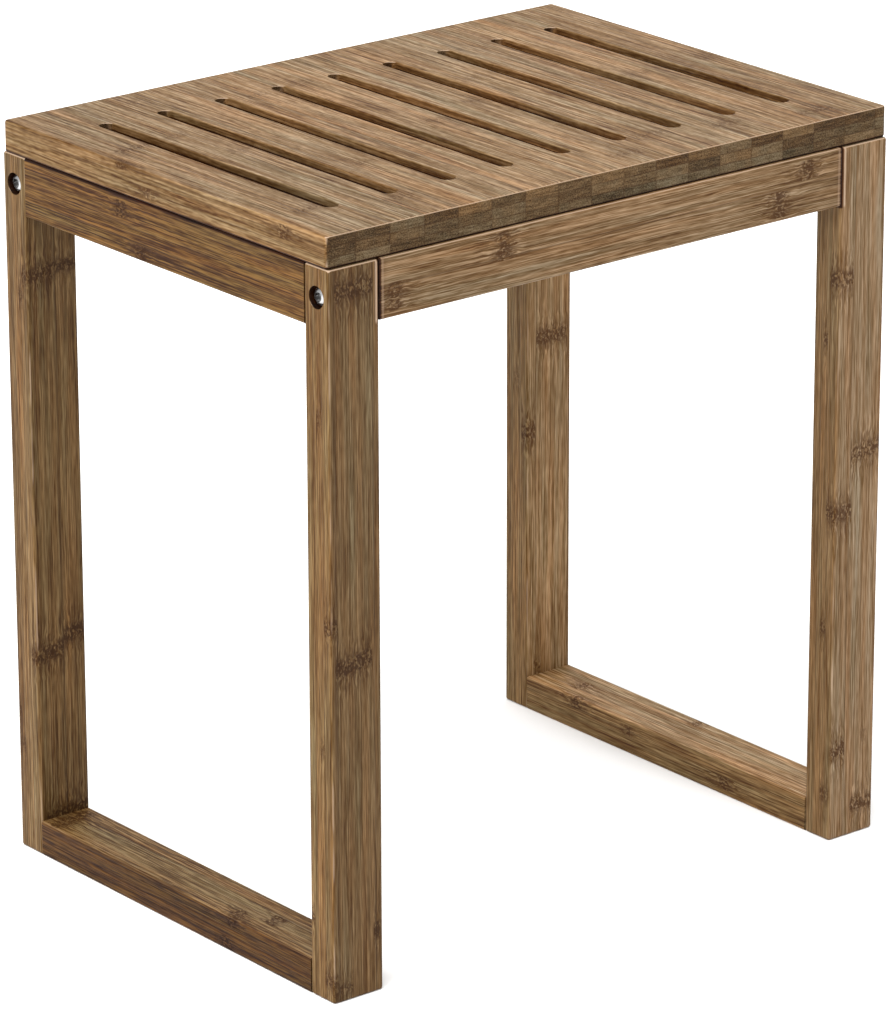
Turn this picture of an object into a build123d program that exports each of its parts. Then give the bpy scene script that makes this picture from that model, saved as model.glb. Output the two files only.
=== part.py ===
from build123d import *
import os

# Backless bathroom stool in strip-laminated bamboo.
# Millimetres. +Z up, +X along the long side, the front is -Y.
# Origin: floor level, under the middle of the stool.

# ---------------------------------------------------------------- driving dimensions
width = 420.0            # overall, along X
depth = 310.0            # overall, along Y
height = 460.0           # overall, floor to seat top

stock_wide = 36.0        # the frame is all one 36 x 22 stock
stock_thin = 22.0
leg_round = 2.0          # rounding of the legs' long edges
leg_end_round = 1.8      # rounding of the legs' foot and top edges
rail_round = 1.5         # rounding of the rails' and aprons' long edges
apron_end_round = 1.0    # eased ends of the bolted long aprons

seat_thick = 19.0        # three plies
seat_depth = 307.0       # the frame stands 1.5 mm proud of the seat, front and back
seat_corner = 2.6        # rounding of the seat's upright corners
seat_edge = 1.3          # rounding of the seat's top and bottom edges

slot_count = 9
slot_pitch = 42.4
slot_width = 10.0
slot_length = 220.0      # over the round ends
slot_rim = 0.8           # rounding of the slots' upper rims

bolt_d = 6.0             # frame bolt
bolt_clear_d = 6.6
bolt_length = 60.0       # under the head
bolt_head_d = 10.6
bolt_head_rim = 1.2      # straight rim of the head
bolt_head_h = 3.2        # rim and dome together
bolt_socket = 5.0        # hexagon across flats
bolt_socket_deep = 2.2
counterbore_d = 13.4
counterbore_deep = 4.2

nut_d = 10.0             # barrel nut
nut_length = 14.0
nut_setback = 22.0       # from the apron's end to the nut's axis

dowel_d = 6.0
dowel_ease = 0.7
hole_spare = 0.5         # glue room at the bottom of each dowel hole
apron_dowel_len = 30.0
frame_dowel_len = 36.0
frame_dowel_in_leg = 14.0

screw_d = 4.0            # seat screw
screw_clear_d = 4.6
screw_head_d = 8.0
screw_head_h = 2.6
screw_length = 35.0      # under the head
screw_bore_d = 9.0
screw_bore_deep = 12.0

# ---------------------------------------------------------------- derived places
seat_under = height - seat_thick                 # the frame's top, 441
apron_low = seat_under - stock_wide              # 405
apron_mid = seat_under - stock_wide / 2          # 423
leg_in_x = width / 2 - stock_wide                # inner face of the legs, 174
leg_in_y = depth / 2 - stock_thin                # faces that the rails butt on, 133
leg_mid_y = depth / 2 - stock_thin / 2           # 144
leg_mid_x = width / 2 - stock_wide / 2           # 192
side_mid_x = width / 2 - stock_thin / 2          # middle of the side aprons, 199
apron_dowel_dz = 11.0                            # long apron dowels, above and below the bolt
side_dowel_dz = 10.5                             # side apron dowels, either side of mid-height
rail_dowel_dx = 9.0                              # rail dowels, either side of the rail's middle

os.makedirs("parts", exist_ok=True)

# ---------------------------------------------------------------- seat
seat_screw_xy = [(-100.0, -leg_mid_y), (100.0, -leg_mid_y),
                 (-100.0, leg_mid_y), (100.0, leg_mid_y),
                 (-side_mid_x, 0.0), (side_mid_x, 0.0)]

with BuildPart() as seat_panel:
    with BuildSketch(Plane.XY.offset(seat_under)):
        RectangleRounded(width, seat_depth, seat_corner)
    extrude(amount=seat_thick)
    fillet(seat_panel.faces().sort_by(Axis.Z)[-1].outer_wire().edges(), seat_edge)
    fillet(seat_panel.faces().sort_by(Axis.Z)[0].outer_wire().edges(), seat_edge)
    # drainage slots, cut right through
    with BuildSketch(Plane.XY.offset(height)):
        with GridLocations(slot_pitch, 1, slot_count, 1):
            SlotOverall(slot_length, slot_width, rotation=90)
    extrude(amount=-seat_thick, mode=Mode.SUBTRACT)
    top_face = seat_panel.faces().filter_by(GeomType.PLANE).sort_by(Axis.Z)[-1]
    fillet([e for w in top_face.inner_wires() for e in w.edges()], slot_rim)
    # pilot holes for the seat screws, from below
    with Locations(*[Plane(origin=(x, y, seat_under), x_dir=(1, 0, 0), z_dir=(0, 0, -1))
                     for x, y in seat_screw_xy]):
        Hole(radius=screw_d / 2, depth=screw_length - (stock_wide - screw_bore_deep) + 0.5)

# ---------------------------------------------------------------- legs
with BuildPart() as leg_front_left:
    with BuildSketch(Plane.XY):
        with Locations((-leg_mid_x, -leg_mid_y)):
            RectangleRounded(stock_wide, stock_thin, leg_round)
    extrude(amount=seat_under)
    fillet(leg_front_left.faces().sort_by(Axis.Z)[0].edges(), leg_end_round)
    fillet(leg_front_left.faces().sort_by(Axis.Z)[-1].edges(), leg_end_round)
    # counterbored bolt hole through the wide way of the leg
    with Locations(Plane(origin=(-width / 2, -leg_mid_y, apron_mid), x_dir=(0, -1, 0), z_dir=(-1, 0, 0))):
        CounterBoreHole(radius=bolt_clear_d / 2, counter_bore_radius=counterbore_d / 2,
                        counter_bore_depth=counterbore_deep, depth=stock_wide + 1)
    # dowel holes towards the long apron
    with Locations(*[Plane(origin=(-leg_in_x, -leg_mid_y, apron_mid + s * apron_dowel_dz),
                           x_dir=(0, 1, 0), z_dir=(1, 0, 0)) for s in (-1, 1)]):
        Hole(radius=dowel_d / 2, depth=apron_dowel_len / 2 + hole_spare)
    # dowel holes towards the side apron and the rail
    with Locations(*([Plane(origin=(-side_mid_x, -leg_in_y, apron_mid + s * side_dowel_dz),
                            x_dir=(1, 0, 0), z_dir=(0, 1, 0)) for s in (-1, 1)] +
                     [Plane(origin=(-leg_mid_x + s * rail_dowel_dx, -leg_in_y, stock_thin / 2),
                            x_dir=(1, 0, 0), z_dir=(0, 1, 0)) for s in (-1, 1)])):
        Hole(radius=dowel_d / 2, depth=frame_dowel_in_leg + hole_spare)

with BuildPart() as leg_back_left:
    mirror(leg_front_left.part, about=Plane.XZ)

with BuildPart() as leg_front_right:
    mirror(leg_front_left.part, about=Plane.YZ)

with BuildPart() as leg_back_right:
    mirror(leg_back_left.part, about=Plane.YZ)

# ---------------------------------------------------------------- side frames' rails
frame_dowel_in_rail = frame_dowel_len - frame_dowel_in_leg

with BuildPart() as rail_left:
    with BuildSketch(Plane.XZ.offset(leg_in_y)):
        with Locations((-leg_mid_x, stock_thin / 2)):
            RectangleRounded(stock_wide, stock_thin, rail_round)
    extrude(amount=-2 * leg_in_y)
    with Locations(*[Plane(origin=(-leg_mid_x + s * rail_dowel_dx, e * leg_in_y, stock_thin / 2),
                           x_dir=(1, 0, 0), z_dir=(0, e, 0)) for s in (-1, 1) for e in (-1, 1)]):
        Hole(radius=dowel_d / 2, depth=frame_dowel_in_rail + hole_spare)

with BuildPart() as rail_right:
    mirror(rail_left.part, about=Plane.YZ)

with BuildPart() as side_apron_left:
    with BuildSketch(Plane.XZ.offset(leg_in_y)):
        with Locations((-side_mid_x, apron_mid)):
            RectangleRounded(stock_thin, stock_wide, rail_round)
    extrude(amount=-2 * leg_in_y)
    with Locations(*[Plane(origin=(-side_mid_x, e * leg_in_y, apron_mid + s * side_dowel_dz),
                           x_dir=(1, 0, 0), z_dir=(0, e, 0)) for s in (-1, 1) for e in (-1, 1)]):
        Hole(radius=dowel_d / 2, depth=frame_dowel_in_rail + hole_spare)
    # counterbored hole for the seat screw, from below
    with Locations(Plane(origin=(-side_mid_x, 0, apron_low), x_dir=(1, 0, 0), z_dir=(0, 0, -1))):
        CounterBoreHole(radius=screw_clear_d / 2, counter_bore_radius=screw_bore_d / 2,
                        counter_bore_depth=screw_bore_deep, depth=stock_wide + 1)

with BuildPart() as side_apron_right:
    mirror(side_apron_left.part, about=Plane.YZ)

# ---------------------------------------------------------------- long aprons
nut_hole_deep = stock_thin / 2 + nut_length / 2

with BuildPart() as long_apron_front:
    with BuildSketch(Plane.YZ.offset(-leg_in_x)):
        with Locations((-leg_mid_y, apron_mid)):
            RectangleRounded(stock_thin, stock_wide, rail_round)
    extrude(amount=2 * leg_in_x)
    fillet(long_apron_front.faces().sort_by(Axis.X)[0].edges(), apron_end_round)
    fillet(long_apron_front.faces().sort_by(Axis.X)[-1].edges(), apron_end_round)
    # bolt holes and dowel holes in both ends
    with Locations(*[Plane(origin=(e * leg_in_x, -leg_mid_y, apron_mid), x_dir=(0, 1, 0), z_dir=(e, 0, 0))
                     for e in (-1, 1)]):
        Hole(radius=bolt_clear_d / 2, depth=bolt_length - (stock_wide - counterbore_deep) + 1.0)
    with Locations(*[Plane(origin=(e * leg_in_x, -leg_mid_y, apron_mid + s * apron_dowel_dz),
                           x_dir=(0, 1, 0), z_dir=(e, 0, 0)) for e in (-1, 1) for s in (-1, 1)]):
        Hole(radius=dowel_d / 2, depth=apron_dowel_len / 2 + hole_spare)
    # blind cross holes for the barrel nuts, from the inner face
    with Locations(*[Plane(origin=(e * (leg_in_x - nut_setback), -leg_in_y, apron_mid),
                           x_dir=(1, 0, 0), z_dir=(0, 1, 0)) for e in (-1, 1)]):
        Hole(radius=nut_d / 2, depth=nut_hole_deep)
    # counterbored holes for the seat screws, from below
    with Locations(*[Plane(origin=(s * 100.0, -leg_mid_y, apron_low), x_dir=(1, 0, 0), z_dir=(0, 0, -1))
                     for s in (-1, 1)]):
        CounterBoreHole(radius=screw_clear_d / 2, counter_bore_radius=screw_bore_d / 2,
                        counter_bore_depth=screw_bore_deep, depth=stock_wide + 1)

with BuildPart() as long_apron_back:
    mirror(long_apron_front.part, about=Plane.XZ)

# ---------------------------------------------------------------- frame bolts
# One bolt on the +Z axis: the head's bearing face is at z = 0, the shank hangs below it.
with BuildPart(mode=Mode.PRIVATE) as one_bolt:
    with BuildSketch(Plane.XZ):
        with BuildLine():
            Polyline((0, -bolt_length), (bolt_d / 2 - 1.0, -bolt_length), (bolt_d / 2, -bolt_length + 1.0),
                     (bolt_d / 2, 0), (bolt_head_d / 2, 0), (bolt_head_d / 2, bolt_head_rim))
            TangentArc((0, bolt_head_h), (bolt_head_d / 2, bolt_head_rim), tangent=(1, 0))
            Line((0, bolt_head_h), (0, -bolt_length))
        make_face()
    revolve(axis=Axis.Z)
    with BuildSketch(Plane.XY.offset(bolt_head_h)):
        RegularPolygon(radius=bolt_socket / 2, side_count=6, major_radius=False)
    extrude(amount=-bolt_socket_deep, mode=Mode.SUBTRACT)

with BuildPart() as frame_bolts:
    for e in (-1, 1):
        for f in (-1, 1):
            with Locations(Plane(origin=(e * (width / 2 - counterbore_deep), f * leg_mid_y, apron_mid),
                                 x_dir=(0, 1, 0), z_dir=(e, 0, 0))):
                add(one_bolt.part)

# ---------------------------------------------------------------- barrel nuts
# One nut with its axis on Z, slotted end up, cross hole along X for the bolt.
with BuildPart(mode=Mode.PRIVATE) as one_nut:
    Cylinder(radius=nut_d / 2, height=nut_length)
    chamfer(one_nut.edges().filter_by(GeomType.CIRCLE), 0.5)
    with Locations(Plane(origin=(nut_d / 2, 0, 0), x_dir=(0, 1, 0), z_dir=(1, 0, 0))):
        Hole(radius=bolt_d / 2, depth=nut_d + 1)
    with BuildSketch(Plane.XY.offset(nut_length / 2)):
        Rectangle(nut_d + 1, 1.4)
    extrude(amount=-1.4, mode=Mode.SUBTRACT)

with BuildPart() as barrel_nuts:
    for e in (-1, 1):
        for f in (-1, 1):
            with Locations(Plane(origin=(e * (leg_in_x - nut_setback), f * leg_mid_y, apron_mid),
                                 x_dir=(1, 0, 0), z_dir=(0, -f, 0))):
                add(one_nut.part)

# ---------------------------------------------------------------- dowels
with BuildPart() as apron_dowels:
    with Locations(*[Plane(origin=(e * leg_in_x, f * leg_mid_y, apron_mid + s * apron_dowel_dz),
                           x_dir=(0, 1, 0), z_dir=(1, 0, 0))
                     for e in (-1, 1) for f in (-1, 1) for s in (-1, 1)]):
        Cylinder(radius=dowel_d / 2, height=apron_dowel_len)
    chamfer(apron_dowels.edges().filter_by(GeomType.CIRCLE), dowel_ease)

frame_dowel_mid_y = leg_in_y + frame_dowel_in_leg - frame_dowel_len / 2

with BuildPart() as side_apron_dowels:
    with Locations(*[Plane(origin=(e * side_mid_x, f * frame_dowel_mid_y, apron_mid + s * side_dowel_dz),
                           x_dir=(1, 0, 0), z_dir=(0, 1, 0))
                     for e in (-1, 1) for f in (-1, 1) for s in (-1, 1)]):
        Cylinder(radius=dowel_d / 2, height=frame_dowel_len)
    chamfer(side_apron_dowels.edges().filter_by(GeomType.CIRCLE), dowel_ease)

with BuildPart() as rail_dowels:
    with Locations(*[Plane(origin=(e * leg_mid_x + s * rail_dowel_dx, f * frame_dowel_mid_y, stock_thin / 2),
                           x_dir=(1, 0, 0), z_dir=(0, 1, 0))
                     for e in (-1, 1) for f in (-1, 1) for s in (-1, 1)]):
        Cylinder(radius=dowel_d / 2, height=frame_dowel_len)
    chamfer(rail_dowels.edges().filter_by(GeomType.CIRCLE), dowel_ease)

# ---------------------------------------------------------------- seat screws
# One screw pointing up: the head's bearing face is at z = 0, the cross recess faces down.
with BuildPart(mode=Mode.PRIVATE) as one_screw:
    with BuildSketch(Plane.XZ):
        with BuildLine():
            Polyline((0, screw_length), (screw_d / 2, screw_length - 4.0), (screw_d / 2, 0),
                     (screw_head_d / 2, 0), (screw_head_d / 2, -screw_head_h * 0.45))
            TangentArc((0, -screw_head_h), (screw_head_d / 2, -screw_head_h * 0.45), tangent=(1, 0))
            Line((0, -screw_head_h), (0, screw_length))
        make_face()
    revolve(axis=Axis.Z)
    with BuildSketch(Plane.XY.offset(-screw_head_h)):
        Rectangle(4.4, 1.1)
        Rectangle(1.1, 4.4)
    extrude(amount=1.7, mode=Mode.SUBTRACT)

with BuildPart() as seat_screws:
    for x, y in seat_screw_xy:
        with Locations((x, y, apron_low + screw_bore_deep)):
            add(one_screw.part)

# ---------------------------------------------------------------- labels and files
seat_panel.part.label = "seat_panel"
export_step(seat_panel.part, "parts/seat_panel.step")
leg_front_left.part.label = "leg_front_left"
export_step(leg_front_left.part, "parts/leg_front_left.step")
leg_back_left.part.label = "leg_back_left"
export_step(leg_back_left.part, "parts/leg_back_left.step")
leg_front_right.part.label = "leg_front_right"
export_step(leg_front_right.part, "parts/leg_front_right.step")
leg_back_right.part.label = "leg_back_right"
export_step(leg_back_right.part, "parts/leg_back_right.step")
rail_left.part.label = "rail_left"
export_step(rail_left.part, "parts/rail_left.step")
rail_right.part.label = "rail_right"
export_step(rail_right.part, "parts/rail_right.step")
side_apron_left.part.label = "side_apron_left"
export_step(side_apron_left.part, "parts/side_apron_left.step")
side_apron_right.part.label = "side_apron_right"
export_step(side_apron_right.part, "parts/side_apron_right.step")
long_apron_front.part.label = "long_apron_front"
export_step(long_apron_front.part, "parts/long_apron_front.step")
long_apron_back.part.label = "long_apron_back"
export_step(long_apron_back.part, "parts/long_apron_back.step")
frame_bolts.part.label = "frame_bolts"
export_step(frame_bolts.part, "parts/frame_bolts.step")
barrel_nuts.part.label = "barrel_nuts"
export_step(barrel_nuts.part, "parts/barrel_nuts.step")
apron_dowels.part.label = "apron_dowels"
export_step(apron_dowels.part, "parts/apron_dowels.step")
side_apron_dowels.part.label = "side_apron_dowels"
export_step(side_apron_dowels.part, "parts/side_apron_dowels.step")
rail_dowels.part.label = "rail_dowels"
export_step(rail_dowels.part, "parts/rail_dowels.step")
seat_screws.part.label = "seat_screws"
export_step(seat_screws.part, "parts/seat_screws.step")
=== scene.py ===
import math

import bpy
from mathutils import Matrix, Vector

# Backless bathroom stool in brown stained, strip-laminated bamboo, on a pale floor.
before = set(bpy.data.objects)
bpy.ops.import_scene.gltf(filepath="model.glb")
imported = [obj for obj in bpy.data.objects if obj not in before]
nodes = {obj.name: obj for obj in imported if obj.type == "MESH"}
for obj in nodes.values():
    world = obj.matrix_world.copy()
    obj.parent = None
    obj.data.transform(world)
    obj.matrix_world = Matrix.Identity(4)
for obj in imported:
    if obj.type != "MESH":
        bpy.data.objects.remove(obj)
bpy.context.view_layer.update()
scene = bpy.context.scene


# ---------------------------------------------------------------- camera
def make_camera(place_mm, azimuth, elevation, roll, focal_px, long_px=1024.0):
    a, e, r = (math.radians(x) for x in (azimuth, elevation, roll))
    back = Vector((math.sin(a) * math.cos(e), -math.cos(a) * math.cos(e), math.sin(e)))
    right = (-back).cross(Vector((0, 0, 1))).normalized()
    up = right.cross(-back)
    right, up = math.cos(r) * right + math.sin(r) * up, -math.sin(r) * right + math.cos(r) * up
    data = bpy.data.cameras.new("main_view")
    data.sensor_fit = "AUTO"
    data.sensor_width = 36.0
    data.lens = focal_px * 36.0 / long_px
    data.clip_start, data.clip_end = 0.1, 80.0
    cam = bpy.data.objects.new("main_view", data)
    m = Matrix((right, up, back)).transposed().to_4x4()
    m.translation = Vector(place_mm) / 1000.0
    cam.matrix_world = m
    scene.collection.objects.link(cam)
    scene.camera = cam


make_camera((-2159.678, -2657.535, 1425.63), -39.072, 19.535, -0.137, 6036.654)


# ---------------------------------------------------------------- writing node trees as sums
class Val:
    """One value in a node tree. Sums and products of values make Math nodes."""

    def __init__(self, net, socket):
        self.net, self.socket = net, socket

    def __add__(self, o): return self.net.math("ADD", self, o)
    def __radd__(self, o): return self.net.math("ADD", o, self)
    def __sub__(self, o): return self.net.math("SUBTRACT", self, o)
    def __rsub__(self, o): return self.net.math("SUBTRACT", o, self)
    def __mul__(self, o): return self.net.math("MULTIPLY", self, o)
    def __rmul__(self, o): return self.net.math("MULTIPLY", o, self)
    def __truediv__(self, o): return self.net.math("DIVIDE", self, o)
    def __neg__(self): return self.net.math("MULTIPLY", self, -1.0)
    def __abs__(self): return self.net.math("ABSOLUTE", self)


class Net:
    def __init__(self, tree):
        self.tree, self.count = tree, 0

    def node(self, kind, **props):
        n = self.tree.nodes.new(kind)
        for k, v in props.items():
            setattr(n, k, v)
        n.location = ((self.count % 24) * 190, -(self.count // 24) * 260)
        self.count += 1
        return n

    def put(self, socket, value):
        if isinstance(value, Val):
            self.tree.links.new(value.socket, socket)
        elif value is not None:
            socket.default_value = value

    def math(self, op, a, b=None, c=None, clamp=False):
        n = self.node("ShaderNodeMath", operation=op, use_clamp=clamp)
        for s, v in zip(n.inputs, (a, b, c)):
            self.put(s, v)
        return Val(self, n.outputs[0])

    def floor(self, a): return self.math("FLOOR", a)
    def fract(self, a): return self.math("FRACT", a)
    def low(self, a, b): return self.math("MINIMUM", a, b)
    def high(self, a, b): return self.math("MAXIMUM", a, b)
    def more(self, a, b): return self.math("GREATER_THAN", a, b)
    def less(self, a, b): return self.math("LESS_THAN", a, b)

    def bell(self, x, width):
        """1 at x = 0, falling off over width."""
        q = x / width
        return self.math("EXPONENT", -(q * q))

    def step(self, x, a, b):
        """0 at a and 1 at b, smooth between."""
        n = self.node("ShaderNodeMapRange", interpolation_type="SMOOTHSTEP")
        for name, v in (("Value", x), ("From Min", a), ("From Max", b), ("To Min", 0.0), ("To Max", 1.0)):
            self.put(n.inputs[name], v)
        return Val(self, n.outputs["Result"])

    def xyz(self, x, y, z):
        n = self.node("ShaderNodeCombineXYZ")
        for s, v in zip(n.inputs, (x, y, z)):
            self.put(s, v)
        return Val(self, n.outputs[0])

    def parts(self, v):
        n = self.node("ShaderNodeSeparateXYZ")
        self.put(n.inputs[0], v)
        return [Val(self, s) for s in n.outputs]

    def noise(self, x, y, z, detail=1.0, rough=0.5, warp=0.0):
        n = self.node("ShaderNodeTexNoise", noise_dimensions="3D")
        self.put(n.inputs["Vector"], self.xyz(x, y, z))
        n.inputs["Scale"].default_value = 1.0
        n.inputs["Detail"].default_value = detail
        n.inputs["Roughness"].default_value = rough
        n.inputs["Distortion"].default_value = warp
        return Val(self, n.outputs[0])

    def cells(self, x, y, z, scatter=1.0):
        """Distance to the nearest of scattered points, one to each unit cell."""
        n = self.node("ShaderNodeTexVoronoi", voronoi_dimensions="3D")
        self.put(n.inputs["Vector"], self.xyz(x, y, z))
        n.inputs["Scale"].default_value = 1.0
        n.inputs["Randomness"].default_value = scatter
        return Val(self, n.outputs["Distance"])

    def lots(self, x, y, z):
        """Four random numbers, the same all over one cell."""
        n = self.node("ShaderNodeTexWhiteNoise", noise_dimensions="3D")
        self.put(n.inputs["Vector"], self.xyz(x, y, z))
        s = self.node("ShaderNodeSeparateColor")
        self.tree.links.new(n.outputs["Color"], s.inputs[0])
        return [Val(self, n.outputs["Value"])] + [Val(self, o) for o in s.outputs]

    def ramp(self, x, stops):
        n = self.node("ShaderNodeValToRGB")
        self.put(n.inputs[0], x)
        e = n.color_ramp.elements
        while len(e) < len(stops):
            e.new(0.5)
        for el, (p, c) in zip(e, stops):
            el.position = p
            el.color = (*c, 1.0)
        return Val(self, n.outputs[0])

    def mix(self, share, a, b, blend="MIX"):
        n = self.node("ShaderNodeMix", data_type="RGBA", blend_type=blend, clamp_factor=True)
        self.put(n.inputs[0], share)
        for s, v in ((n.inputs[6], a), (n.inputs[7], b)):
            self.put(s, (*v, 1.0) if isinstance(v, tuple) else v)
        return Val(self, n.outputs[2])

    def grey(self, x):
        n = self.node("ShaderNodeCombineColor")
        for s in n.inputs:
            self.put(s, x)
        return Val(self, n.outputs[0])

    def tint(self, r, g, b):
        n = self.node("ShaderNodeCombineColor")
        for s, v in zip(n.inputs, (r, g, b)):
            self.put(s, v)
        return Val(self, n.outputs[0])

    def call(self, group, **inputs):
        n = self.node("ShaderNodeGroup", node_tree=group)
        for k, v in inputs.items():
            if isinstance(v, tuple):
                v = (*v, 1.0)
            self.put(n.inputs[k], v)
        return {o.name: Val(self, o) for o in n.outputs}


def new_group(name, inputs, outputs):
    g = bpy.data.node_groups.new(name, "ShaderNodeTree")
    kinds = {"f": "NodeSocketFloat", "c": "NodeSocketColor"}
    for n in inputs:
        k, label = n.split(":")
        g.interface.new_socket(label, in_out="INPUT", socket_type=kinds[k])
    for n in outputs:
        k, label = n.split(":")
        g.interface.new_socket(label, in_out="OUTPUT", socket_type=kinds[k])
    net = Net(g)
    src, out = net.node("NodeGroupInput"), net.node("NodeGroupOutput")
    return g, net, {s.name: Val(net, s) for s in src.outputs if s.name}, out


# ---------------------------------------------------------------- one knuckle (a node of the bamboo cane)
# U runs along the grain, V across the strip's flat face, W through the plies, all in mm.
knuckle_group, n, i, out = new_group(
    "knuckle",
    ["f:U", "f:V", "f:W", "f:Wobble", "f:U0", "f:V0", "f:Half V", "f:W0", "f:Half W", "f:Slant", "f:Gain",
     "f:Band in", "f:Halo in"],
    ["f:Band", "f:Halo"])
dv, dw = i["V"] - i["V0"], i["W"] - i["W0"]
inside = (n.step(abs(dv), i["Half V"] + 0.8, i["Half V"] - 0.8)
          * n.step(abs(dw), i["Half W"] + 0.8, i["Half W"] - 0.8) * i["Gain"])
du = i["U"] - i["U0"] - i["Slant"] * dv + i["Wobble"]
n.put(out.inputs["Band"], n.high(i["Band in"], n.bell(du, 5.2) * inside))
n.put(out.inputs["Halo"], n.high(i["Halo in"], n.bell(du, 17.0) * inside))


# ---------------------------------------------------------------- laminated bamboo
bamboo_group, n, i, out = new_group(
    "bamboo",
    ["f:U", "f:V", "f:W", "f:Seed", "f:Strip", "f:Offset", "f:Stagger", "f:Ply", "f:Band", "f:Halo",
     "f:Random", "f:End", "f:Edge", "f:Cavity", "f:Streak", "f:Contrast", "f:Grain", "c:Tone"],
    ["c:Color", "f:Roughness", "f:Height"])
U, V, W, seed = i["U"], i["V"], i["W"], i["Seed"]
strip, ply = i["Strip"], i["Ply"]

# which strip of which ply this point lies in
ply_no = n.floor(n.low(n.high(W / ply, 0.0), 2.999))
across = (V - i["Offset"]) / strip + ply_no * i["Stagger"]
strip_no = n.floor(across)
in_strip = across - strip_no
lot, lot_r, lot_g, lot_b = n.lots(strip_no + 0.5, ply_no + 0.5, seed)
to_strip_joint = n.low(in_strip, 1.0 - in_strip) * strip
to_ply_joint = abs(abs(W - 1.5 * ply) - 0.5 * ply)

# knuckles that each strip carries every 270 mm or so, besides the placed ones
wobble = (n.noise(U / 11.0, V / 5.0, W / 5.0) - 0.5) * 7.0
spacing = 270.0
du = ((n.fract((U + 900.0) / spacing + lot_r * 5.37) - 0.5) * spacing
      + (in_strip - 0.5) * (lot_g - 0.5) * 9.0 + wobble)
band = n.high(i["Band"], n.bell(du, 4.4) * i["Random"])
halo = n.high(i["Halo"], n.bell(du, 17.0) * i["Random"])

# fibres drift slowly, and bend round the knuckles
bend = n.noise(U / 9.0, V / 3.6 + lot_g * 9.0, W / 3.6) - 0.5
drift = n.noise(U / 95.0, V / 15.0, W / 15.0 + seed) - 0.5
sway = n.noise(U / 19.0 + 5.0, V / 4.5, W / 4.5 + seed) - 0.5
v2 = V + halo * bend * 4.5 + drift * 1.5 + sway * 0.6
w2 = W + halo * bend * 2.2 + drift * 1.1 + sway * 0.35
size = i["Grain"]
ur, vr, wr = U + lot_b * 431.0 + seed * 7.0, (v2 + lot_r * 61.0) / size, (w2 + lot_g * 43.0 + ply_no * 5.0) / size

# vascular bundles: crisp dark and pale lines of three widths, short dark pores and longer gashes
lines = n.step(n.noise(ur / 70.0, vr / 1.45, wr / 1.45, detail=1.0), 0.41, 0.58)
threads = n.step(n.noise(ur / 55.0 + 7.0, vr / 0.95, wr / 0.95, detail=0.0), 0.38, 0.60)
hairs = n.step(n.noise(ur / 34.0 + 2.0, vr / 0.62, wr / 0.62, detail=0.0), 0.36, 0.62)
bands = n.noise(ur / 260.0, vr / 4.0, wr / 4.0 + 9.0, detail=1.0) - 0.5
pores = n.step(n.noise(ur / 15.0, vr / 0.80, wr / 0.80 + 3.0), 0.60, 0.70)
gashes = n.step(n.noise(ur / 55.0 + 3.0, vr / 1.1, wr / 1.1 + 6.0), 0.62, 0.70)
grit = n.noise(U * size / 8.5, vr / 0.75, wr / 0.75 + 1.0, detail=0.0) - 0.5
cloud = n.noise(U / 130.0 + seed, V / 36.0, W / 36.0, detail=1.0) - 0.5
hue = n.noise(ur / 120.0, vr / 6.0, wr / 6.0 + 3.0, detail=1.0) - 0.5

c = i["Contrast"]
t = (0.5 + ((lines - 0.5) * 0.14 + (threads - 0.5) * 0.20 + (hairs - 0.5) * 0.24 + bands * 0.26 + cloud * 0.15
            + (lot - 0.5) * 0.08 + grit * 0.44 - pores * 0.11 - gashes * 0.10) * c * (1.0 + halo * 0.7) + 0.03)
long_grain = n.ramp(t, [(0.10, (0.060, 0.0214, 0.0040)), (0.30, (0.112, 0.057, 0.0175)),
                        (0.50, (0.180, 0.107, 0.050)), (0.70, (0.267, 0.175, 0.098)),
                        (0.90, (0.373, 0.260, 0.163))])
# the hue wanders between olive and reddish brown
warm = hue * 4.0 + (lot_b - 0.5) * 0.5
long_grain = n.mix(1.0, long_grain, n.tint(1.0 + warm * 0.08, 1.0 - warm * 0.045, 1.0 - warm * 0.17), "MULTIPLY")

# cut ends show the vascular bundles as fine specks, block by block
speck = n.cells(V / 0.95, W / 0.85, U / 2.0 + seed)
end_noise = n.noise(V / 1.1 + lot_r * 20.0, W / 0.7, seed, detail=2.0)
end_band = n.noise(V / 11.0 + lot_g * 30.0, W / 1.5 + lot_b * 17.0, seed + 4.0, detail=1.5)
e = (0.5 + (end_noise - 0.5) * 1.25 + (end_band - 0.5) * 0.85 + (lot - 0.5) * 0.34
     + (n.step(speck, 0.15, 0.50) - 0.5) * 0.24 - n.step(ply_no, 1.2, 1.8) * 0.05)
end_grain = n.ramp(e, [(0.10, (0.022, 0.0095, 0.0020)), (0.30, (0.052, 0.029, 0.0110)),
                       (0.50, (0.092, 0.056, 0.027)), (0.70, (0.142, 0.094, 0.051)),
                       (0.90, (0.205, 0.145, 0.090))])
# the top ply's ends are redder, the middle ply's greyer
end_warm = (lot_b - 0.5) * 1.1 + hue * 1.6 + (ply_no - 1.2) * 0.35
end_grain = n.mix(1.0, end_grain,
                  n.tint(1.0 + end_warm * 0.11, 1.0 - end_warm * 0.035, 1.0 - end_warm * 0.20), "MULTIPLY")
color = n.mix(i["End"], long_grain, end_grain)

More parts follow.
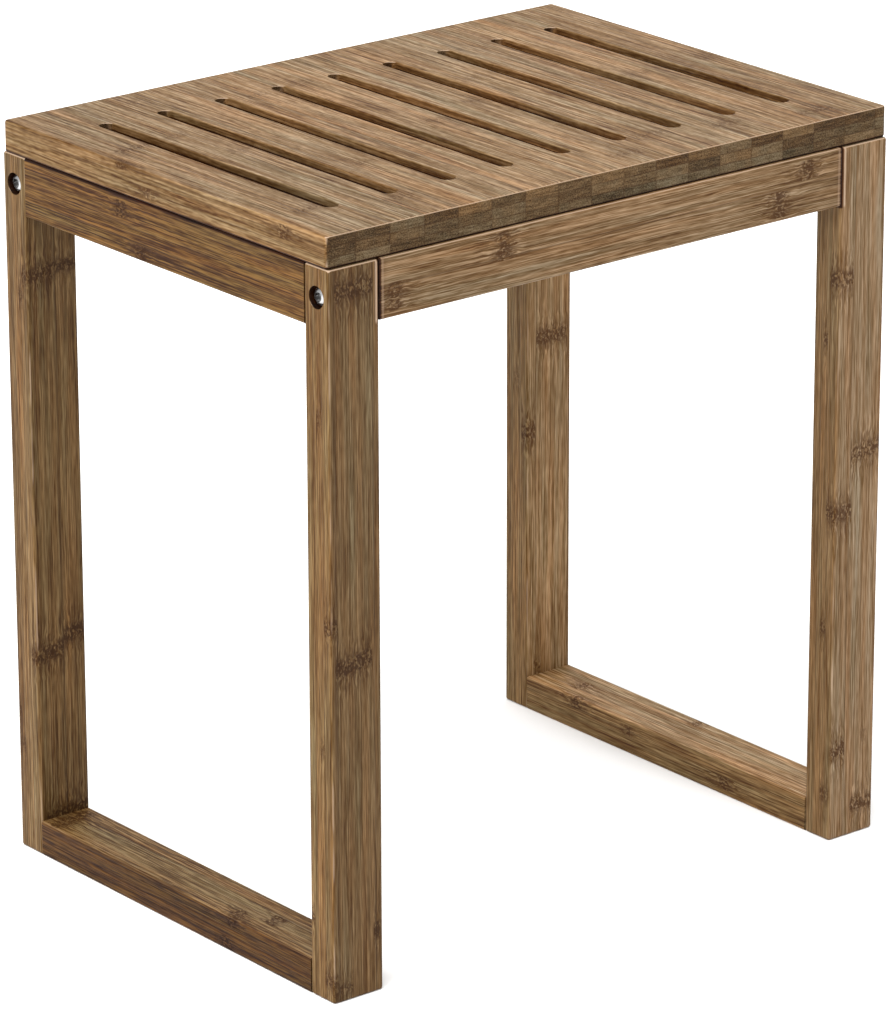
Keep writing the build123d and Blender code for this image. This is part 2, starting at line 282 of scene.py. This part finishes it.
# knuckles: dark brown blotches with a few light ones between, and dark flames that run out of them
not_end = 1.0 - i["End"] * 0.75
near = halo * not_end
flames = n.step(n.noise(U / 6.5 + 9.0, v2 / 1.25, w2 / 1.25 + lot_r * 9.0, detail=1.0), 0.44, 0.60)
color = n.mix(near * 0.20, color, (0.165, 0.092, 0.030))
color = n.mix(near * flames * 0.66, color, (0.074, 0.031, 0.008))
blot = n.noise(U / 2.7 + 5.0, v2 / 1.75, w2 / 1.75 + lot_r * 9.0, detail=1.0, rough=0.5, warp=0.3)
fleck = n.noise(U / 2.0 + 40.0, V / 1.2, W / 1.2 + lot_g * 9.0, detail=0.0, warp=0.2)
spread = n.low(band * 1.5, 1.0) * not_end
dark = n.step(blot, 0.42, 0.50) * spread
light = n.step(fleck, 0.59, 0.66) * spread * (1.0 - dark * 0.5)
color = n.mix(spread * 0.30, color, (0.110, 0.050, 0.014))
color = n.mix(n.math("MULTIPLY", dark, 0.86, clamp=True), color, (0.056, 0.0225, 0.0060))
color = n.mix(n.math("MULTIPLY", light, 0.50, clamp=True), color, (0.300, 0.200, 0.108))

# glue lines
glue = n.high(n.step(to_strip_joint, 0.80, 0.20) * (0.30 + lot_g * 0.70),
              n.step(to_ply_joint, 0.55, 0.12) * (0.45 + i["End"] * 0.40))
color = n.mix(glue * 0.58, color, (0.050, 0.022, 0.006))
# long dark growth streak along the board
color = n.mix(i["Streak"] * 0.50, color, (0.070, 0.032, 0.010))

# Tone holds each board's stain together with the painted shade of each face
color = n.mix(1.0, color, i["Tone"], "MULTIPLY")
# painted highlight, partly pale wear: edges that face the light are paler, and a little pink
edge = i["Edge"] * (1.0 - i["Cavity"])
color = n.mix(edge, color, (0.385, 0.272, 0.187))
# painted shade in slots, grooves, bores and along the seat seam, partly stain that pooled in the slots
color = n.mix(i["Cavity"], color, n.mix(1.0, color, (0.36, 0.16, 0.02), "MULTIPLY"))
# deeper painted shade where the hollow is strongest
color = n.mix(n.step(i["Cavity"], 0.60, 1.0), color, n.mix(1.0, color, (0.42, 0.42, 0.42), "MULTIPLY"))

n.put(out.inputs["Color"], color)
n.put(out.inputs["Roughness"],
      n.low(n.high(0.50 - (lines - 0.5) * 0.10 + pores * 0.10 + i["End"] * 0.16 + dark * 0.12
                   - edge * 0.08 - light * 0.1 + cloud * 0.10, 0.25), 0.85))
n.put(out.inputs["Height"],
      (lines - 0.5) * 0.30 + (threads - 0.5) * 0.30 + (hairs - 0.5) * 0.2 + grit * 0.3 - pores * 0.35 - gashes * 0.45 - glue * 0.9
      - dark * 0.35 + light * 0.2 + (end_noise - 0.5) * i["End"] * 0.9)


# ---------------------------------------------------------------- board materials
# How dark and how orange each board is: on the faces that look along V, along W, and on the cut ends.
# This is partly each board's own stain and partly painted shade, for how much light each face gets.
# Each pair is how dark it went, and how far it leans from grey-brown to orange.
stain_and_face_shade = {
    "seat_panel": ((0.20, 0.35), (0.20, 0.15), (0.40, 0.25)),
    "leg_front_left": ((0.40, 0.55), (0.70, 0.35), (0.60, 0.45)),
    "leg_back_left": ((0.50, 0.45), (0.80, 0.55), (0.70, 0.45)),
    "leg_front_right": ((0.45, 0.35), (0.20, 0.00), (0.35, 0.15)),
    "leg_back_right": ((0.45, 0.50), (-0.05, 0.20), (0.20, 0.35)),
    "rail_left": ((1.45, 2.05), (0.60, 0.55), (1.00, 0.85)),
    "rail_right": ((0.50, 0.55), (-0.30, 0.15), (0.05, 0.30)),
    "side_apron_left": ((0.90, 1.30), (0.90, 1.30), (0.95, 1.25)),
    "side_apron_right": ((0.50, 0.35), (0.50, 0.35), (0.50, 0.35)),
    "long_apron_front": ((0.25, 0.05), (0.25, 0.05), (0.30, 0.05)),
    "long_apron_back": ((0.10, 0.10), (0.10, 0.10), (0.10, 0.10)),
}


def stain_and_shade_tone(dark, warm):
    return tuple(math.exp(-dark - warm * lean) for lean in (0.0, 0.24, 1.0))


def board(node, axes, origin, seed, ply, strip, offset, knuckles=(), stagger=0.37, contrast=1.0,
          grain=1.0, edge_wear_and_highlight=0.95, cavity=None, streak=None, lip=None, side=1.0):
    """axes: which of x, y, z is U, V and W; origin: their zero, in mm. knuckles: (u, v, half v, w, half w, slant, gain).
    """
    mat = bpy.data.materials.new("bamboo_" + node)
    mat.use_nodes = True
    tree = mat.node_tree
    tree.nodes.clear()
    net = Net(tree)
    place = net.parts(Val(net, net.node("ShaderNodeTexCoord").outputs["Object"]))
    mm = [p * 1000.0 for p in place]
    turned = net.parts(Val(net, net.node("ShaderNodeNewGeometry").outputs["Normal"]))
    size = [abs(c) for c in turned]
    u, v, w = (mm["xyz".index(a)] - o for a, o in zip(axes, origin))
    n_u = size["xyz".index(axes[0])]
    end = net.step(n_u, 0.62, 0.86)
    edge = net.step(1.0 - net.high(net.high(size[0], size[1]), size[2]), 0.07, 0.24)
    # each face's tone is partly the board's stain and partly painted shade, for how much light that face gets
    tone_v, tone_w, tone_end = (stain_and_shade_tone(*stain_and_shade_pair) for stain_and_shade_pair in stain_and_face_shade[node])
    tone = net.mix(net.step(size["xyz".index(axes[2])], 0.55, 0.80), tone_v, tone_w)
    tone = net.mix(end, tone, tone_end)
    # painted highlight, partly wear: upper edges are lit pale all along, upright ones in places; edges turned away
    # from the light and the rest keep their stain
    patchy_wear_and_highlight = net.step(net.noise(u / 46.0, v / 9.0, w / 9.0 + seed, detail=1.0), 0.47, 0.60)
    upper = net.step(turned[2], 0.15, 0.45)
    if node == "seat_panel":
        upper = upper * net.step(-turned[1], 0.15, 0.45)
    edge = (edge * net.step(turned[0] - turned[1] * 0.3, 0.55, 0.10)
            * net.high(upper * edge_wear_and_highlight, patchy_wear_and_highlight * 0.42 * net.less(turned[2], 0.2)))
    if lip:
        edge = net.high(edge, lip(net, mm, size))
    unseen = net.more(net.high(net.high(turned[0], turned[1]), -turned[2]), 0.5)
    wobble = (net.noise(u / 9.0, v / 4.0, w / 4.0 + seed) - 0.5) * 6.0
    band, halo = 0.0, 0.0
    for (u0, v0, hv, w0, hw, slant, gain) in knuckles:
        got = net.call(knuckle_group, U=u, V=v, W=w, Wobble=wobble, U0=float(u0), V0=float(v0),
                       W0=float(w0), Slant=float(slant), Gain=float(gain),
                       **{"Half V": float(hv), "Half W": float(hw), "Band in": band, "Halo in": halo})
        band, halo = got["Band"], got["Halo"]
    hollow = cavity(net, mm, turned, size) if cavity else 0.0
    long_streak = streak(net, u, v, w) if streak else 0.0
    strength = contrast * (1.0 - net.step(size["xyz".index(axes[1])], 0.55, 0.80) * (1.0 - side))
    got = net.call(bamboo_group, U=u, V=v, W=w, Seed=float(seed), Strip=float(strip), Offset=float(offset),
                   Stagger=float(stagger), Ply=float(ply), Band=band, Halo=halo, Random=unseen, End=end,
                   Edge=edge, Cavity=hollow, Streak=long_streak, Contrast=strength, Grain=float(grain), Tone=tone)
    shader = net.node("ShaderNodeBsdfPrincipled")
    shader.inputs["IOR"].default_value = 1.45
    shader.inputs["Specular IOR Level"].default_value = 0.13
    bump = net.node("ShaderNodeBump")
    bump.inputs["Strength"].default_value = 0.55
    bump.inputs["Distance"].default_value = 0.00022
    net.put(bump.inputs["Height"], got["Height"])
    tree.links.new(bump.outputs["Normal"], shader.inputs["Normal"])
    net.put(shader.inputs["Base Color"], got["Color"])
    net.put(shader.inputs["Roughness"], got["Roughness"])
    sink = net.node("ShaderNodeOutputMaterial")
    tree.links.new(shader.outputs[0], sink.inputs["Surface"])
    data = nodes[node].data
    data.materials.clear()
    data.materials.append(mat)
    return mat


# Painted shade, partly pooled stain in the slots: slot walls (stronger towards +x), the seat's bores, and the seam
# along its underside.
def slots_and_seam(net, mm, turned, size):
    x, y, z = mm
    inside = (net.less(abs(x), 178.0) * net.less(abs(y), 111.2) * net.less(size[2], 0.62)
              * net.step(z, 459.7, 458.9))
    bores = net.less(size[2], 0.5) * net.less(z, 456.0) * net.less(abs(x), 205.0) * net.less(abs(y), 150.0)
    seam = net.step(z, 442.7, 441.9) * net.less(size[2], 0.93)
    return net.high(net.high(inside * (0.45 + x * 0.0006), bores), seam)


# Painted shade in the bolt bores and in the groove beside each long apron.
def leg_hollows(net, mm, turned, size):
    x, y, z = mm
    dy, dz = abs(y) - 144.0, z - 423.0
    off = net.math("SQRT", dy * dy + dz * dz)
    bore = net.less(off, 6.95) * net.less(abs(x), 209.7)
    groove = net.step(abs(x), 175.9, 174.7) * net.step(z, 403.0, 404.0)
    return net.high(bore, groove)


def apron_top(net, mm, turned, size):
    """Painted shade under the seat, along the side aprons' upper edges."""
    return net.step(mm[2], 439.3, 440.2)


def leg_lip_highlight(net, mm, size):
    """Painted highlight: beside each long apron the legs' long edges are lit pale."""
    return (net.bell(abs(mm[0]) - 176.3, 0.75) * net.step(mm[2], 403.0, 406.0)
            * net.step(size[1], 0.45, 0.70) * 0.85)


# Painted highlight along the rounded ends of the long aprons.
def apron_lip_highlight(net, mm, size):
    return net.bell(abs(mm[0]) - 171.6, 0.65) * net.step(size[0], 0.85, 0.60) * 0.45


# Painted shade in the grooves where the long aprons meet the legs, and a faint band beside them.
def apron_ends(net, mm, turned, size):
    return net.high(net.step(abs(mm[0]), 172.1, 173.2), net.step(abs(mm[0]), 168.0, 171.5) * 0.20)


def corner_streak(net, u, v, w):
    wander = (net.noise(u / 70.0, 1.0, 3.0) - 0.5) * 2.0
    return net.bell(v - 2.7 - wander, 1.3) * net.less(w, 2.5) * 0.55


def seat_side_streak(net, u, v, w):
    wander = (net.noise(u / 55.0, 2.0, 5.0, detail=2.0) - 0.5) * 4.0
    at = 17.6 + u * 0.032 + wander
    main = net.bell(w - at, 1.15)
    second = net.bell(w - at + 3.4 + wander, 0.5) * 0.55
    return net.high(main, second) * net.less(v, 3.0) * net.step(u, 95.0, 40.0)


seat_knuckles = [
    # on the top face
    (101.5, 148.5, 9, 19, 6, 0.10, 0.34), (106.5, 186, 9, 19, 6, 0.0, 0.28), (61.5, 58.5, 9, 19, 6, 0.1, 0.31),
    (56, 22, 13, 19, 6, 0.12, 0.53), (14, 68.5, 9, 19, 6, 0.1, 0.31), (-51, 106, 10, 19, 6, -0.05, 0.31),
    (-103, 27, 11, 19, 6, 0.1, 0.46), (-119, 78, 12, 19, 6, 0.0, 0.34), (-8.5, 196, 9, 19, 6, 0.0, 0.31),
    (10, 241, 10, 19, 6, 0.1, 0.31), (49, 273.5, 10, 19, 6, 0.0, 0.25), (-112, 270, 12, 19, 6, 0.05, 0.37),
    (-122, 321, 12, 19, 6, 0.0, 0.43), (-132, 235, 12, 19, 6, 0.0, 0.34), (-135, 380, 13, 19, 6, 0.0, 0.56),
    (-6, 353, 10, 19, 6, 0.0, 0.25), (-3, 411, 8, 19, 6, 0.0, 0.28), (135, 84, 10, 19, 6, 0.0, 0.25),
    # on the left edge
    (37, 0, 4, 18, 3, 0, 0.8), (12, 0, 4, 6, 3, 0, 0.6), (-115, 0, 4, 13, 4, 0, 0.9),
]
board("seat_panel", "yxz", (0, -210, 441), 3.0, 6.3333, 24.4, -3.8,
      seat_knuckles, stagger=0.0, grain=1.5, edge_wear_and_highlight=0.85, side=0.92, cavity=slots_and_seam, streak=seat_side_streak)

board("leg_front_left", "zxy", (0, -210, -155), 11.0, 7.3333, 27.0, 4.0,
      [(427, 17.5, 13.5, 0, 6, 0.0, 1.0), (205.5, 16, 13, 0, 6, 0.13, 1.0), (230, 1, 3.5, 1.5, 5, 0, 0.9),
       (353, 0, 2, 9.4, 2.4, 0, 0.5), (155, 0, 2, 8.7, 2.2, 0, 0.45), (8, 7, 7, 0, 3, 0.1, 0.55),
       (14, 0, 3, 3, 5, 0, 0.7), (39, 31.5, 2.6, 0, 4, 0, 0.9), (49, 0, 2, 19.5, 2, 0, 0.6)],
      cavity=leg_hollows, lip=leg_lip_highlight, streak=corner_streak, contrast=0.86)
board("leg_back_left", "zxy", (0, -210, 133), 17.0, 7.3333, 27.0, -7.5,
      [(369, 9.5, 10, 0, 6, 0.1, 0.9), (371, 27.5, 8, 0, 6, 0.0, 0.7), (130, 9.5, 10, 0, 6, 0.1, 1.0),
       (139, 27.5, 8, 0, 6, 0.1, 1.0), (356, 0, 2, 7.6, 2.2, 0, 0.6), (67, 0, 2, 17, 3, 0, 0.5),
       (90, 0, 2, 20, 2, 0, 0.5), (23, 20, 16, 0, 6, 0.1, 1.0)],
      cavity=leg_hollows, lip=leg_lip_highlight, contrast=0.95)
board("leg_front_right", "zxy", (0, 174, -155), 23.0, 7.3333, 27.0, -15.5,
      [(359, 4, 7, 2, 6, 0, 0.95), (320, 0, 2, 11.3, 2, 0, 0.6), (248, 23.5, 11.5, 0, 6, 0.08, 0.95),
       (212, 5, 8, 2, 6, 0, 1.0), (58, 6, 5.5, 2, 6, 0, 1.0), (137, 0, 2, 9, 2.4, 0, 0.6),
       (19, 26, 9, 0, 5, 0, 0.9), (30, 0, 2, 5, 4, 0, 0.5), (64, 27, 2.5, 0, 4, 0, 0.3)],
      cavity=leg_hollows, lip=leg_lip_highlight, contrast=0.76)
board("leg_back_right", "zxy", (0, 174, 133), 31.0, 7.3333, 27.0, -20.0,
      [(250, 20, 13, 0, 6, 0, 0.9), (188, 2, 4.5, 1.5, 4.5, 0, 1.0), (223, 0, 2, 10.7, 3, 0, 0.35),
       (27, 8.6, 3, 0, 3, 0, 0.6)],
      cavity=leg_hollows, lip=leg_lip_highlight, contrast=0.92)

board("rail_left", "yxz", (0, -210, 0), 37.0, 7.3333, 27.0, -10.0,
      [(-55, 8, 4.5, 21, 5, 0.2, 0.8), (-77, 17, 6, 21, 5, 0.2, 0.9), (-58, 1, 3, 20, 4, 0, 0.9),
       (124, 16, 15, 21, 6, 0.1, 0.95), (-52, 0, 2.5, 4, 4, 0, 0.9)], edge_wear_and_highlight=0.10, contrast=1.50)
board("rail_right", "yxz", (0, 174, 0), 41.0, 7.3333, 27.0, 6.0,
      [(98, 17, 6, 21, 5, 0, 0.9), (1, 31, 5, 21, 5, 0, 0.7), (84, 1, 3, 19, 4, 0, 1.0),
       (33, 0, 2.5, 15, 3.5, 0, 0.6), (-59, 0, 2.5, 8, 4, 0, 1.0)], edge_wear_and_highlight=0.15, contrast=1.0)

board("side_apron_left", "yzx", (0, 405, -210), 43.0, 7.3333, 27.0, -17.0,
      [(38, 27, 5, 0, 5, 0, 0.95), (19, 5, 4.5, 0, 5, 0, 1.0)], contrast=1.45, edge_wear_and_highlight=0.0, cavity=apron_top)
board("side_apron_right", "yzx", (0, 405, 188), 47.0, 7.3333, 27.0, -9.0, contrast=1.2, edge_wear_and_highlight=0.0, cavity=apron_top)
board("long_apron_front", "xzy", (0, 405, -155), 53.0, 7.3333, 27.0, -8.0,
      [(-163, 12, 8, 0, 5, 0, 1.0), (-84, 26, 8.5, 0, 5, 0, 1.0), (147, 27.5, 6, 0, 5, 0, 1.0),
       (125, 10, 8, 0, 5, 0, 1.0)], cavity=apron_ends, lip=apron_lip_highlight, contrast=0.95)
board("long_apron_back", "xzy", (0, 405, 133), 59.0, 7.3333, 27.0, -13.0, cavity=apron_ends, lip=apron_lip_highlight, contrast=0.95)


# ---------------------------------------------------------------- steel and dowels
def metal(name, color, rough, grime, targets, pit=None):
    mat = bpy.data.materials.new(name)
    mat.use_nodes = True
    tree = mat.node_tree
    tree.nodes.clear()
    net = Net(tree)
    x, y, z = (p * 1000.0 for p in net.parts(Val(net, net.node("ShaderNodeTexCoord").outputs["Object"])))
    turned = [abs(c) for c in net.parts(Val(net, net.node("ShaderNodeNewGeometry").outputs["Normal"]))]
    cloud = net.noise(x / 2.2, y / 2.2, z / 2.2, detail=3.0, rough=0.6)
    grain = net.noise(x / 0.25, y / 0.25, z / 0.25, detail=2.0)
    lines = net.noise(x / 3.0, y / 0.16, z / 0.16, detail=1.0)
    spots = net.step(cloud, 0.60, 0.72)
    base = net.ramp(cloud * 0.7 + grain * 0.3,
                    [(0.30, tuple(c * 0.72 for c in color)), (0.5, color), (0.75, tuple(min(1, c * 1.12) for c in color))])
    base = net.mix(spots * grime, base, (0.16, 0.13, 0.10))
    # painted shade in the socket of each bolt head
    if pit:
        base = net.mix(pit(net, x, y, z) * 0.80, base, (0.030, 0.028, 0.025))
    shader = net.node("ShaderNodeBsdfPrincipled")
    shader.inputs["Metallic"].default_value = 1.0
    net.put(shader.inputs["Base Color"], base)
    net.put(shader.inputs["Roughness"], net.low(net.high(rough + (grain - 0.5) * 0.18 + spots * 0.2, 0.08), 0.8))
    bump = net.node("ShaderNodeBump")
    bump.inputs["Strength"].default_value = 0.3
    bump.inputs["Distance"].default_value = 0.00004
    net.put(bump.inputs["Height"], lines * 0.6 + grain * 0.4)
    tree.links.new(bump.outputs["Normal"], shader.inputs["Normal"])
    sink = net.node("ShaderNodeOutputMaterial")
    tree.links.new(shader.outputs[0], sink.inputs["Surface"])
    for t in targets:
        nodes[t].data.materials.clear()
        nodes[t].data.materials.append(mat)


def bolt_socket_shade(net, x, y, z):
    """Painted shade inside the hexagon socket."""
    dy, dz = abs(y) - 144.0, z - 423.0
    off = net.math("SQRT", dy * dy + dz * dz)
    return net.step(off, 2.95, 2.55) * net.less(abs(x), 208.75)


metal("zinc_bolts", (0.56, 0.56, 0.565), 0.27, 0.35, ["frame_bolts"], bolt_socket_shade)
metal("zinc_nuts", (0.50, 0.51, 0.52), 0.34, 0.45, ["barrel_nuts"])
metal("zinc_screws", (0.55, 0.54, 0.50), 0.30, 0.40, ["seat_screws"])


def beech():
    mat = bpy.data.materials.new("beech_dowel")
    mat.use_nodes = True
    tree = mat.node_tree
    tree.nodes.clear()
    net = Net(tree)
    x, y, z = (p * 1000.0 for p in net.parts(Val(net, net.node("ShaderNodeTexCoord").outputs["Object"])))
    ray = net.noise(x / 0.7, y / 0.7, z / 0.7, detail=2.0)
    cloud = net.noise(x / 9.0, y / 9.0, z / 9.0, detail=2.0)
    base = net.ramp(ray * 0.6 + cloud * 0.4, [(0.3, (0.36, 0.22, 0.12)), (0.5, (0.52, 0.35, 0.20)), (0.72, (0.64, 0.46, 0.29))])
    shader = net.node("ShaderNodeBsdfPrincipled")
    net.put(shader.inputs["Base Color"], base)
    net.put(shader.inputs["Roughness"], 0.55 + (ray - 0.5) * 0.3)
    bump = net.node("ShaderNodeBump")
    bump.inputs["Strength"].default_value = 0.4
    bump.inputs["Distance"].default_value = 0.0001
    net.put(bump.inputs["Height"], ray)
    tree.links.new(bump.outputs["Normal"], shader.inputs["Normal"])
    sink = net.node("ShaderNodeOutputMaterial")
    tree.links.new(shader.outputs[0], sink.inputs["Surface"])
    for t in ("apron_dowels", "side_apron_dowels", "rail_dowels"):
        nodes[t].data.materials.clear()
        nodes[t].data.materials.append(mat)


beech()


# ---------------------------------------------------------------- floor
def make_floor(half=16.0):
    mesh = bpy.data.meshes.new("floor")
    mesh.from_pydata([(-half, -half, 0), (half, -half, 0), (half, half, 0), (-half, half, 0)], [], [(0, 1, 2, 3)])
    floor = bpy.data.objects.new("floor", mesh)
    scene.collection.objects.link(floor)
    mat = bpy.data.materials.new("pale_floor")
    mat.use_nodes = True
    tree = mat.node_tree
    tree.nodes.clear()
    net = Net(tree)
    x, y, z = net.parts(Val(net, net.node("ShaderNodeTexCoord").outputs["Object"]))
    cloud = net.noise(x * 3.0, y * 3.0, 0.0, detail=3.0)
    shader = net.node("ShaderNodeBsdfPrincipled")
    shader.inputs["Specular IOR Level"].default_value = 0.15
    net.put(shader.inputs["Base Color"], net.ramp(cloud, [(0.3, (0.91, 0.91, 0.905)), (0.7, (0.93, 0.93, 0.925))]))
    shader.inputs["Roughness"].default_value = 0.85
    # from below the floor lets the underside be seen
    clear = net.node("ShaderNodeBsdfTransparent")
    both = net.node("ShaderNodeMixShader")
    # and under the flat of the feet and rails, where nothing shows from above, light gets to them
    under = (net.more(abs(x), 0.1762) * net.less(abs(x), 0.2078) * net.less(abs(y), 0.1528))
    net.put(both.inputs[0], net.high(Val(net, net.node("ShaderNodeNewGeometry").outputs["Backfacing"]), under))
    tree.links.new(shader.outputs[0], both.inputs[1])
    tree.links.new(clear.outputs[0], both.inputs[2])
    sink = net.node("ShaderNodeOutputMaterial")
    tree.links.new(both.outputs[0], sink.inputs["Surface"])
    mesh.materials.append(mat)


make_floor()


# ---------------------------------------------------------------- light
def make_world():
    world = bpy.data.worlds.new("studio")
    scene.world = world
    world.use_nodes = True
    tree = world.node_tree
    tree.nodes.clear()
    net = Net(tree)
    z = net.parts(Val(net, net.node("ShaderNodeTexCoord").outputs["Generated"]))[2]
    # a pale band round the horizon, a dimmer ceiling above it
    glow = 0.60 + net.step(z, 0.20, 0.02) * 0.88
    back = net.node("ShaderNodeBackground")
    back.inputs["Color"].default_value = (1.0, 1.0, 1.0, 1.0)
    net.put(back.inputs["Strength"], glow)
    sink = net.node("ShaderNodeOutputWorld")
    tree.links.new(back.outputs[0], sink.inputs["Surface"])


def soft_light(name, towards, power, spread_deg, color=(1, 1, 1)):
    """A very wide, even light from far away: towards is where it comes from."""
    data = bpy.data.lights.new(name, "SUN")
    data.energy = power
    data.angle = math.radians(spread_deg)
    data.color = color
    lamp = bpy.data.objects.new(name, data)
    lamp.rotation_mode = "QUATERNION"
    lamp.rotation_quaternion = Vector(towards).to_track_quat("Z", "Y")
    lamp.location = Vector(towards).normalized() * 4.0
    scene.collection.objects.link(lamp)


make_world()
soft_light("key", (-0.62, -0.28, 1.0), 4.5, 66.0)
soft_light("fill", (0.55, 0.35, 1.0), 0.9, 85.0)

scene.view_settings.view_transform = "Standard"
scene.view_settings.look = "None"
scene.view_settings.exposure = 0.0
scene.view_settings.gamma = 1.0

bpy.context.view_layer.update()
